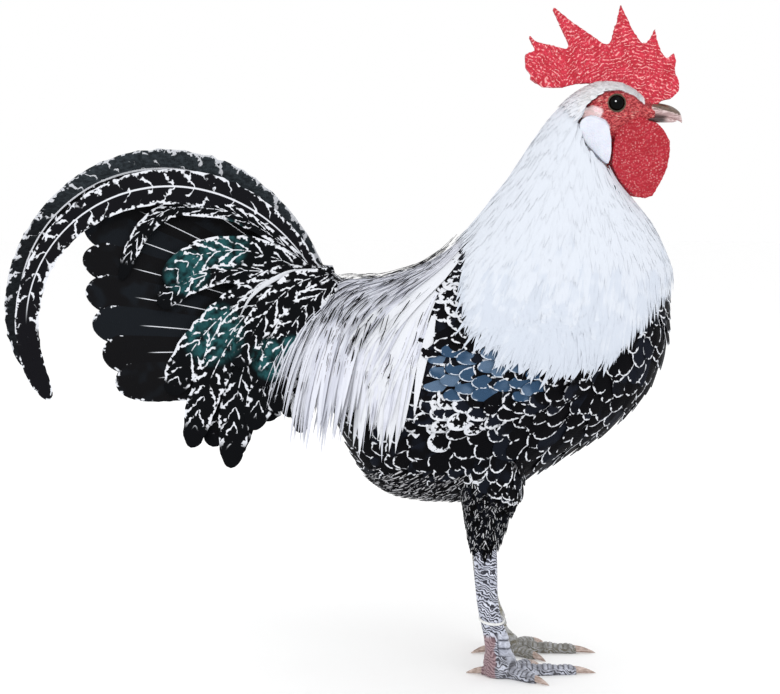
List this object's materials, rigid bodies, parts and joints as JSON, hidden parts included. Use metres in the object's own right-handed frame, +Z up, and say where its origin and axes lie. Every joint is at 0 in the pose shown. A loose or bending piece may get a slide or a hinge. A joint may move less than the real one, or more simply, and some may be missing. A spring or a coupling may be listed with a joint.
{
  "type": "brakel bantam cock",
  "caption": "Life-size still model of a standing silver Brakel bantam cock with comb, wattles, white cape, saddle hackles, folded wings and an arched sickle tail.",
  "frame": {"origin": "on the floor, under the middle of the whole bird", "axes": "+X forward, where the bird faces; +Y to the bird's left; +Z up"},
  "size_m": [0.3342, 0.115, 0.3307],
  "materials": {
    "body_plumage": "black feathers laced with white",
    "cape_plumage": "silky pure white hackles",
    "saddle_plumage": "white hackles with dark shafts",
    "wing_plumage": "slate blue and black feathers edged with white",
    "tail_plumage": "glossy black with pale shafts",
    "covert_plumage": "black with a green sheen and white edges",
    "thigh_plumage": "black finely barred with white",
    "face_skin": "bare red skin",
    "comb_skin": "pebbled crimson skin",
    "earlobe_skin": "smooth bluish white skin",
    "bill_horn": "smooth greyish horn",
    "claw_horn": "horn",
    "leg_scales": "slate grey scales with dark joints",
    "eye": "wet dark brown",
    "ring_plastic": "white"
  },
  "bodies": {
    "root": {"torso": "body_plumage", "neck": "cape_plumage", "head": "face_skin", "bill_upper": "bill_horn", "bill_lower": "bill_horn", "comb": "comb_skin", "wattle_right": "comb_skin", "wattle_left": "comb_skin", "earlobe_right": "earlobe_skin", "earlobe_left": "earlobe_skin", "eye_right": "eye", "eye_left": "eye", "wing_right": "wing_plumage", "wing_left": "wing_plumage", "saddle": "saddle_plumage", "tail_fan_right": "tail_plumage", "tail_fan_left": "tail_plumage", "sickle_right_base": "tail_plumage", "sickle_right_tip": "tail_plumage", "sickle_left_base": "tail_plumage", "sickle_left_tip": "tail_plumage", "tail_coverts_upper_right": "covert_plumage", "tail_coverts_upper_left": "covert_plumage", "tail_coverts_hanging_right": "covert_plumage", "tail_coverts_hanging_left": "covert_plumage", "thigh_right": "thigh_plumage", "thigh_left": "thigh_plumage", "shank_right": "leg_scales", "shank_left": "leg_scales", "foot_right": "leg_scales", "foot_left": "leg_scales", "claw_right_middle": "claw_horn", "claw_right_outer": "claw_horn", "claw_right_inner": "claw_horn", "claw_right_hind": "claw_horn", "claw_left_middle": "claw_horn", "claw_left_outer": "claw_horn", "claw_left_inner": "claw_horn", "claw_left_hind": "claw_horn", "leg_ring_right": "ring_plastic"}
  },
  "joints": []
}
